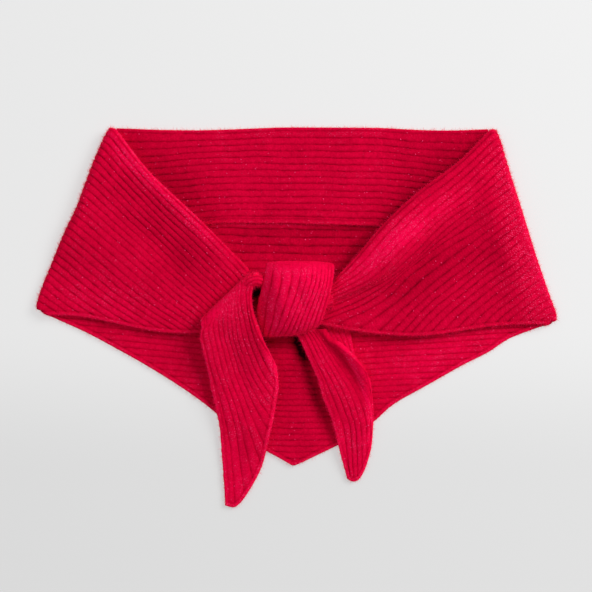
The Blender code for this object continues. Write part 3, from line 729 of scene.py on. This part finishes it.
LEFT_CREASES = [
    ((-150, 135), (-52, 38), 3, 7, 1.6), ((-165, 95), (-60, 15), 4, 12, -1.8),
    ((-190, 60), (-95, 2), 3, 14, 1),
]
RIGHT_CREASES = [
    ((150, 120), (30, 14), -5, 9, 2.4), ((170, 92), (50, -2), -4, 10, -2.2),
    ((150, 170), (207, -20), -3, 13, 3.2),
]
# Where the knit is pulled smooth over a ridge; the height is the share of relief that is lost.
LEFT_SMOOTH = [
    ((-160, 150), (-45, 38), 0, 4, 0.35), ((-200, 110), (-60, -10), 0, 40, 0.25),
    ((-190, 165), (-50, 50), 0, 26, -0.35),
]
RIGHT_SMOOTH = [((150, 112), (20, 4), -4, 9, 0.5), ((178, 190), (230, -30), 0, 14, 0.75)]
# Painted light along the rolled top edge, down from the neck corner and near the lower side fold, and
# painted shade across the middle of the front.
LEFT_PAINTED_SHADING = [
    ((-175, 172), (-36, 28), 0, 6, 0.35), ((-182, 182), (-112, 96), 0, 10, 0.3),
    ((-150, 90), (-50, 5), 3, 14, -0.25), ((-235, 40), (-110, -10), 0, 22, 0.25),
]
# Painted highlight along the ridge and the right side fold, and painted shade in the hollow below the
# ridge.
RIGHT_PAINTED_SHADING = [
    ((172, 128), (10, 0), -6, 12, 0.5), ((172, 190), (232, -25), 0, 14, 0.2),
    ((195, 80), (30, -5), 0, 20, -0.3),
]
left = front_rows(FRONT_LEFT, LEFT, LEFT_CREASES, LEFT_SMOOTH)
knit_piece("front_left_knit", "front_left", left, anchor=TURN_SAMPLES + 20, free=(None, 14, False),
           painted_shading_creases=LEFT_PAINTED_SHADING, firm=0.8,
           glints=[((-165, 160), (-40, 30), 0, 7, 0.3)])
right = front_rows(FRONT_RIGHT, RIGHT, RIGHT_CREASES, RIGHT_SMOOTH)
knit_piece("front_right_knit", "front_right", right, anchor=TURN_SAMPLES + 20, free=(None, 9, False),
           painted_shading_creases=RIGHT_PAINTED_SHADING, firm=0.87,
           glints=[((170, 190), (226, -40), 0, 20, 0.9), ((130, 60), (10, -20), 0, 14, 0.3)])


# ==== knot
# The left end comes up from below and wraps the right end as the band of a half knot. Inside it
# are the two bunched strands, which show only as dark plies at its sides.

KNOT_BAND = [
    (0, (12, -2, 14), (16, -7, 19), (19.5, -1, 25), (24, 14, 27.5),
     (28, 30, 27), (29.5, 44.5, 21.5), (28.5, 43, 17)),
    (3.5, (-3, -6, 14), (0, -13, 19), (5, -4, 27.5), (12, 14, 31),
     (18, 31, 30.5), (19, 46, 22), (18, 42, 16)),
    (7, (-17, -8, 14), (-16, -14.5, 18.5), (-10, -5, 27), (-3.5, 13, 31.5),
     (2, 30, 31), (4, 46.5, 22), (4, 41, 15)),
    (9.5, (-25, -9, 12), (-26, -15, 14.5), (-23.3, -5, 21.5), (-20.9, 12, 26.5),
     (-17.5, 29, 27), (-15.8, 46.3, 19.5), (-15, 41.5, 14)),
    (11, (-31, -9, 10), (-33, -14, 11), (-34.2, -4, 13), (-32.4, 12, 16.5),
     (-29, 28, 19), (-25.8, 44.9, 16.5), (-24.5, 41, 12.5)),
]
KNOT_RIBS = 11
BAND_CREASES = [((-22, 38), (-8, -8), 2, 5, 1.2), ((-4, 42), (8, -6), 1, 4, -0.9)]
BAND_SMOOTH = [((-60, 45), (66, 46), 0, 8, 0.95)]


def plain_rows(table, ribs_wide, creases=(), smooth=()):
    """Rows of a stretch with no side fold, with its whole table over that many ribs."""
    ribs = rib_places(0, ribs_wide)
    lines = ribs * table[-1][0] / ribs_wide
    return wall_rows(ribs, ply_points(table, lines, STATIONS, creases), smooth)


# The two strands, bunched into one roll of cloth: the middle line and its half width and height.
STRANDS = [
    (-48, 21, 15, 2.6, 3), (-41.3, 29.2, 18.4, 3, 3.6), (-33.5, 31.6, 17.8, 3, 3.4),
    (-25, 28, 13.5, 3.4, 3.4), (-14, 20, 14.5, 7.5, 7.5), (0, 16, 16.5, 11, 11),
    (14, 15, 16, 9.5, 9.5), (24, 15, 15, 7, 7), (31, 15.5, 14, 5.5, 5),
]
STRAND_RIBS, STRAND_OPEN = 8, 0.12  # the roll's two edges meet below it, this far apart
line = spline(np.linspace(0, 1, len(STRANDS)), STRANDS, STATIONS)
middle, wide, high = line[:, :3], line[:, 3:4], line[:, 4:5]
aside = unit(np.cross(UP, np.gradient(middle, axis=0)))
ribs = rib_places(0, STRAND_RIBS)
turns = (ribs / STRAND_RIBS * 2 - 1) * (np.pi - STRAND_OPEN)
strands = np.array([middle - aside * wide * np.sin(turn) + UP * high * np.cos(turn)
                    for turn in turns])
# The strands are painted a little lighter, as painted light.
knit_piece("knot_strands_knit", "knot_core", wall_rows(ribs, strands),
           tone=0.1, firm=0.7)
wrap = edge_rolled(plain_rows(KNOT_BAND, KNOT_RIBS, BAND_CREASES, BAND_SMOOTH))
# The band is painted lighter all over, as painted light for how high it stands towards the lamp, and a
# little darker along its top and its right side, as painted shade.
knit_piece("knot_band_knit", "knot_band", wrap, tone=0.38,
           firm=0.8, glint=-0.1,
           painted_shading_creases=[((31, 60), (16, -26), 2, 8, -0.1), ((-60, 46), (66, 47), 0, 6, -0.4)])


# ==== tails
# The left tail folds over the left front and hangs to its tip, with its folded long edge at the
# right of it and its chained edge below. The right tail comes out from under the band.

TAIL_LEFT = [
    (0, (-38.7, 29.8, 21), (-40.5, 21.1, 21.4), (-40.2, 10.7, 21.5), (-38, -1, 21.5),
     (-33.9, -12.8, 21), (-29.1, -23.2, 19), (-23.5, -32.8, 15), (-17.8, -44.1, 9)),
    (1, (-42.6, 27.7, 21), (-43.1, 18.5, 21.3), (-41.8, 7.2, 21.3), (-39.6, -4.5, 21.2),
     (-35.9, -18, 19.5), (-30.9, -31.1, 16.5), (-24.8, -44.5, 12), (-15.9, -59.8, 7)),
    (2, (-47, 24.6, 21), (-47.9, 15.1, 21.2), (-45.9, 3.7, 21), (-43.2, -8.4, 20),
     (-39.4, -23.2, 17.8), (-34.1, -37.1, 14.8), (-27.8, -51.1, 10.5), (-16.8, -66.7, 6.4)),
    (4, (-52.2, 19.8, 21), (-53, 7.2, 21), (-51.6, -8.4, 19), (-48.5, -25, 16.3),
     (-43.5, -38, 14), (-37.4, -52.4, 11.3), (-30, -66.3, 8.6), (-19.1, -82, 5.8)),
    (6, (-57.9, 14.6, 21), (-59.4, 2.9, 20.5), (-58.7, -11.9, 17.8), (-55.7, -26.7, 15),
     (-49.6, -45.8, 12), (-42.6, -63.2, 9.5), (-34.4, -81.1, 7.6), (-23.1, -101.5, 6.4)),
    (8, (-65.2, 7.7, 21), (-67.6, -3.2, 19), (-66.3, -17.1, 16.3), (-62.2, -35.4, 13.3),
     (-56.1, -55.4, 10.4), (-48.3, -76.3, 8), (-40, -102.4, 6.4), (-30.4, -130.2, 1.9)),
    (10, (-72.6, 0.7, 21), (-76.1, -9.3, 18.3), (-74.1, -23.2, 15.6), (-70, -42.4, 12.3),
     (-61.8, -65.9, 9), (-54.4, -89.3, 6), (-49.6, -119.8, 2.3), (-45.2, -157.2, 1.3)),
    (11, (-77.4, -4.1, 20.6), (-80.6, -12.8, 17.8), (-78.5, -25, 15), (-74.4, -43.2, 11.8),
     (-67.4, -65.9, 8.4), (-61.3, -92, 5.2), (-56.5, -121.5, 2.1), (-53.9, -165.5, 1.3)),
    (12, (-81.8, -8, 20), (-83.1, -16.3, 16.6), (-80.9, -28.4, 14), (-76.6, -46.7, 10.8),
     (-72.2, -67.6, 7.7), (-67.4, -92.8, 4.4), (-64.6, -124.1, 1.9), (-62.2, -164.2, 1.3)),
]
TAIL_LEFT_RIBS, TAIL_RADIUS = 12, 4.0
TAIL_TOP, TAIL_FOOT = np.array([-38.7, 35.9, 0.0]), np.array([-84.0, -7.6, 0.0])
TAIL_LIP, LIP_SAMPLES = np.array([8.0, -0.4, 0.0]), 5
TAIL_CREASES = [((-44, 25), (-30, -60), 6, 6, 1), ((-66, 0), (-40, -110), 6, 8, -1)]
TAIL_SMOOTH = [((-86, -10), (-38, 40), 0, 13, 0.8), ((-38, 56), (-17, -70), -6, 6, -1.4)]
ribs = rib_places(0, TAIL_LEFT_RIBS)
flat = ply_points(TAIL_LEFT, ribs, STATIONS, TAIL_CREASES)
out = unit(np.cross(TAIL_FOOT - TAIL_TOP, UP))
turn = turned_under(flat, out, np.full(len(ribs), TAIL_RADIUS), np.ones(len(ribs)))
lip = turn[:, :1] + TAIL_LIP * np.linspace(1, 0, LIP_SAMPLES + 1)[:-1][None, :, None]
tail = wall_rows(ribs, np.concatenate([lip, turn], axis=1), TAIL_SMOOTH)
# The tail is painted a little lighter, with a painted highlight and more painted glints along its folded
# rim on the right.
knit_piece("tail_left_knit", "tail_left", edge_rolled(tail, TURN_SAMPLES + LIP_SAMPLES),
           anchor=TURN_SAMPLES + 30, free=(None, 0, True), tone=0.15, firm=0.55,
           painted_shading_creases=[((-38, 50), (-16, -75), 4, 5, 0.8)], glints=[((-38, 50), (-16, -75), 4, 5, 0.4)])

TAIL_RIGHT = [
    (0, (20.4, -10.2, 11), (28.3, -20.2, 12.5), (36.5, -25, 13.5), (43.5, -30.2, 14),
     (49.6, -35.8, 14), (55.2, -41.9, 13.5), (60, -48.5, 12), (63.9, -58, 8.5)),
    (1, (19.1, -10.2, 10.5), (29.1, -23.2, 11.3), (38.7, -31.9, 11.8), (46.5, -40.2, 12),
     (53.1, -48.5, 12), (58.3, -56.3, 11.5), (62.6, -64.1, 9.6), (66.1, -81.5, 5.2)),
    (2, (17.4, -10.2, 10), (26.5, -23.2, 10.3), (36.5, -34.5, 10.3), (46.1, -45, 10.2),
     (53.1, -55.9, 10.2), (58.7, -66.3, 10), (63.1, -78.5, 8), (65.2, -108.5, 1.8)),
    (3, (15.2, -10.2, 9.8), (23.5, -21.5, 9.8), (33, -35.7, 9.6), (42.2, -48.9, 9.6),
     (50, -61.5, 9.6), (56.1, -74.6, 9.2), (60.6, -92, 7.2), (60.9, -127.6, 1.4)),
    (4, (11.7, -10.2, 9.6), (18.7, -19.7, 9.6), (28.2, -35.7, 9.5), (37.4, -51.1, 9.6),
     (45.2, -65.4, 9.6), (50.5, -80.6, 9), (55.7, -101.5, 6.4), (56.1, -138.9, 1.3)),
    (5, (7.8, -10.2, 9.4), (14.4, -19.7, 9.4), (22.4, -35.7, 9.4), (30.9, -50.6, 9.5),
     (38.3, -65.9, 9.5), (44.4, -81.1, 8.8), (50, -101.5, 6), (51.8, -142.9, 1.2)),
    (6, (3.5, -10.2, 9.2), (8.9, -18.9, 9.2), (17, -35.7, 9.2), (25.2, -51.5, 9.2),
     (31.8, -65.9, 9.2), (37.4, -81.1, 8.4), (43.1, -99.8, 5.6), (47.9, -142.9, 1.2)),
    (7, (-2.6, -10.2, 8.8), (2.6, -18.9, 8.6), (10.4, -35.8, 8.4), (18.3, -52.8, 8),
     (23.5, -70.2, 7.8), (30.4, -88.5, 7.2), (35.7, -108.5, 5), (44.4, -140.7, 1.2)),
]
TAIL_UNDER = [
    (0, (13.5, -7.6), (22.2, -19.7), (32.6, -31.9), (43.1, -43.2), (51.8, -54.5)),
    (3, (29.1, -7.6), (34.4, -18), (41.3, -29.3), (49.2, -39.8), (57, -49.3)),
    (6, (46.5, -8.4), (47.9, -18.9), (49.6, -29.3), (53.5, -38), (59.2, -45.8)),
]
right = edge_rolled(plain_rows(TAIL_RIGHT, 9, [((6, 4), (70, -98), 8, 6, -1.6)],
                               [((6, 4), (70, -98), 8, 8, 0.85)]))
# The tail is painted a little lighter, with painted shade in the trough inside its rolled right edge and a
# painted highlight along that edge.
knit_piece("tail_right_knit", "tail_right", right, anchor=40, free=(None, 0, True),
           tone=0.12, firm=0.6,
           painted_shading_creases=[((6, 4), (70, -98), 8, 7, -0.8), ((18, 2), (68, -120), 13, 3, 0.7)])
under = plain_rows(level_table(TAIL_UNDER, ON_BACK), 6)
# The ply under the tail is painted lighter, as painted light.
knit_piece("tail_under_knit", "tail_right_under", under, tone=0.25,
           firm=0.6)


# ==== nap and glints
# What brushing and the yarn add: loose wool fibres, which stand out as a soft halo at folds and
# edges, and small glints of the metallic thread that is spun into the yarn.

NAP_SIZES = (("Density", 0.012e6), ("Edge density", 1.75e6), ("Length", 2.8 * MM),
             ("Thickness", 0.16 * MM), ("Bend", 0.5), ("Lean", 1.1), ("Seed", 7))
GLINT_SIZES = (("Density", 0.010e6), ("Edge density", 0.02e6), ("Length", 0.8 * MM),
               ("Thickness", 0.5 * MM), ("Bend", 0.0), ("Lean", 0.8), ("Seed", 11))


def scatter_tree(name, sizes, fibres):
    """Fibres, or flat flakes, on the side of a knitted wall that shows."""
    tree, add, given = new_tree(name, sizes)
    length, thickness = given["Length"], given["Thickness"]
    lift = add("GeometryNodeInputNamedAttribute", {"Name": "lift"}, data_type="FLOAT_VECTOR")
    hem, firm = (add("GeometryNodeInputNamedAttribute", {"Name": name}) for name in ("hem", "firm"))
    # More of them where the cloth turns away at a fold, and along its free edges.
    upright = add("ABSOLUTE", add("SeparateXYZ", lift).outputs[2])
    edge = add("MAXIMUM", add("MapRange", upright, 0.75, 0.2), add("MapRange", hem, 3.5, 1.0))
    density = add("MULTIPLY_ADD", edge, given["Edge density"], given["Density"])
    points = add("GeometryNodeDistributePointsOnFaces", {
        "Mesh": given["Geometry"], "Density": add("MULTIPLY", density, firm),
        "Seed": given["Seed"]}).outputs
    if fibres:
        shape = add("GeometryNodeMeshCone", {
            "Vertices": 3, "Side Segments": 2, "Radius Top": 0.0, "Depth": length,
            "Radius Bottom": add("MULTIPLY", thickness, 0.5)}, fill_type="NONE")
        along = add("SeparateXYZ", add("GeometryNodeInputPosition")).outputs[2]
        bowed = add("DIVIDE", add("MULTIPLY", along, along), length)
        bowed = add("CombineXYZ", add("MULTIPLY", bowed, given["Bend"]))
        shape = add("GeometryNodeSetPosition", {"Geometry": shape, "Offset": bowed})
    else:
        size = add("CombineXYZ", length, thickness, add("MULTIPLY", thickness, 0.2))
        shape = add("GeometryNodeMeshCube", size)
    # A random lean, turn about its own length, and size for each.
    lean, turn, size = (
        add("FunctionNodeRandomValue", {**limits, "Seed": add("ADD", given["Seed"], variant)},
            data_type=kind)
        for variant, kind, limits in (
            (1, "FLOAT_VECTOR", {0: (-1, -1, -1), 1: (1, 1, 1)}),
            (2, "FLOAT", {2: 0.0, 3: 2 * np.pi}), (3, "FLOAT", {2: 0.5, 3: 1.4})))
    turned = points["Rotation"]
    for angles in (add("CombineXYZ", {2: turn.outputs[1]}),
                   add("VectorMath", lean, {"Scale": given["Lean"]}, operation="SCALE")):
        turned = add("FunctionNodeRotateRotation", turned, add("FunctionNodeEulerToRotation", angles),
                     rotation_space="LOCAL")
    placed = add("GeometryNodeInstanceOnPoints", {
        "Points": points["Points"], "Instance": shape, "Rotation": turned, "Scale": size.outputs[1]})
    end_tree(add, placed, given["Finish"])
    return tree


def scattered_piece(name, tree, finish):
    """One piece of all the fibres or flakes on the whole scarf."""
    points, faces = [], []
    for piece in KNITTED:
        part = modified(name, piece.data.copy(), tree, finish)
        count = len(points)
        points += [vertex.co[:] for vertex in part.vertices]
        faces += [[count + corner for corner in face.vertices] for face in part.polygons]
        bpy.data.meshes.remove(part)
    mesh = bpy.data.meshes.new(name)
    mesh.from_pydata(points, [], faces)
    mesh.materials.append(finish)
    piece = in_scene(name, mesh)
    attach(piece, "root")


def plain_finish(name, colour, roughness):
    """A finish of one colour, because each fibre is thinner than its colours vary."""
    return new_material(name, {"Base Color": colour, "Roughness": roughness,
                               "Specular IOR Level": 0.2, "Specular Tint": colour})[0]


# Brushed wool fibres: matt, and paler than the yarn because light passes through them.
scattered_piece("wool_nap", scatter_tree("wool_nap_fibres", NAP_SIZES, True),
                plain_finish("brushed_wool_fibre", "#F51850", 0.9))
# Metallised film, slit into a thread: flakes whose bright pink is partly the film's colour and
# partly a painted glint.
scattered_piece("lurex_glints", scatter_tree("film_flakes", GLINT_SIZES, False),
                plain_finish("rose_film_painted_glint", "#FF4884", 0.4))


# ==== table, light and camera
# A pale table top that glows as painted light, a large soft key light up to the right, and a long
# lens looking straight down, with the whole scarf in a square frame.

# White acrylic that glows, a painted light: it is a little less bright towards the foot of the
# frame and towards the left, standing in for the lamps' falloff, and it makes the shadows on it soft.
acrylic, acrylic_shader = new_material("opal_table_painted_glow", {
    "Base Color": "#909090", "Roughness": 0.8, "Specular IOR Level": 0.2, "Emission Color": "#FFFFFF"})
add = partial(add_node, acrylic.node_tree)
across_table, up_table = add("SeparateXYZ", add("TexCoord").outputs["Object"]).outputs[:2]
painted_glow = add("MapRange", up_table, -0.14, 0.0, 0.483, 0.568, interpolation_type="SMOOTHSTEP")
painted_glow = add("MULTIPLY_ADD", across_table, 0.045, painted_glow)
acrylic.node_tree.links.new(painted_glow.outputs[0], acrylic_shader.inputs["Emission Strength"])
TABLE_HALF = 3.0  # metres
floor_mesh = bpy.data.meshes.new("table_top")
floor_corners = [(x * TABLE_HALF, y * TABLE_HALF, 0) for x, y in ((-1, -1), (1, -1), (1, 1), (-1, 1))]
floor_mesh.from_pydata(floor_corners, [], [(0, 1, 2, 3)])
floor_mesh.materials.append(acrylic)
table_top = in_scene("table_top", floor_mesh)


def area_light(name, place, side, power):
    """A square panel of white light that looks at the middle of the scarf."""
    data = bpy.data.lights.new(name, "AREA")
    data.size, data.energy = side, power
    lamp = in_scene(name, data)
    lamp.location = place
    lamp.rotation_mode = "QUATERNION"
    lamp.rotation_quaternion = Vector(place).to_track_quat("Z", "Y")


area_light("key_softbox", (2.11, 1.32, 1.68), 1.4, 80)
area_light("fill_panel", (-1.22, 0.71, 1.69), 1.8, 8)
world = bpy.data.worlds.new("pale_studio")
world.use_nodes = True
background = world.node_tree.nodes["Background"].inputs
background["Color"].default_value = linear("#F8F8F8")
background["Strength"].default_value = 0.36
bpy.context.scene.world = world
bpy.context.scene.view_settings.view_transform = "Standard"

FRAME_WIDTH = 592 * 0.87  # pixels, and millimetres to each
FRAME_MIDDLE = (-0.7, 19.1, 6.0)  # a little above the table
camera_data = bpy.data.cameras.new("camera")
camera_data.lens, camera_data.sensor_width = 100.0, 36.0
camera = in_scene("camera", camera_data)
distance = FRAME_WIDTH * camera_data.lens / camera_data.sensor_width
camera.location = (np.array(FRAME_MIDDLE) + UP * distance) * MM
bpy.context.scene.camera = camera
